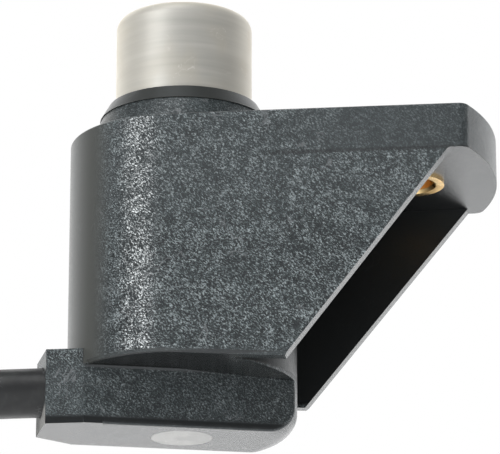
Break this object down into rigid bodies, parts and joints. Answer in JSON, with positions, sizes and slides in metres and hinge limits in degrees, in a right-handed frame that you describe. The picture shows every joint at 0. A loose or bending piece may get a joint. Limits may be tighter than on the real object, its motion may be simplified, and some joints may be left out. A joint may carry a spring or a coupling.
{
  "type": "camshaft position sensor",
  "caption": "Inductive camshaft position sensor: round metal nose on a black moulded bracket with a brass screw bushing, a coiled lead and its plug.",
  "frame": {"origin": "on the axis of the sensing nose, in the seating face of the bracket", "axes": "+Z along the nose, away from the bracket; +X along the near side of the arm, towards the screw hole"},
  "size_m": [0.1505, 0.0823, 0.057],
  "materials": {
    "housing": "fine eroded black-grey glass-filled plastic",
    "nose_cap": "satin drawn metal with light scuffs",
    "steel": "machined",
    "bobbin": "natural plastic",
    "copper": "enamelled copper wire",
    "magnet": "sintered",
    "contact": "tinned strip",
    "core_white": "insulation",
    "core_grey": "insulation",
    "core_black": "insulation",
    "resin": "cast resin",
    "brass": "turned brass",
    "filler_plug": "smooth moulded plastic",
    "lead": "matte sheath with light scuffs",
    "plug_shell": "moulded plastic",
    "rubber": "soft rubber",
    "gasket": "soft silicone",
    "lock": "moulded plastic"
  },
  "bodies": {
    "root": {"housing": "housing", "nose_cap": "nose_cap", "pole_core": "steel", "coil_bobbin": "bobbin", "coil_winding": "copper", "magnet": "magnet", "back_plate": "steel", "contact_strip_1": "contact", "contact_strip_2": "contact", "contact_strip_3": "contact", "insulated_core_1": "core_white", "insulated_core_2": "core_grey", "insulated_core_3": "core_black", "filling_resin": "resin", "screw_bushing": "brass", "filler_plug": "filler_plug", "lead_stub": "lead", "lead_tube": "lead", "lead_coil": "lead", "lead_tail": "lead", "plug_shell": "plug_shell", "plug_grommet": "rubber", "plug_gasket": "gasket", "plug_lock": "lock", "plug_contact_1": "contact", "plug_contact_2": "contact", "plug_contact_3": "contact"}
  },
  "joints": []
}
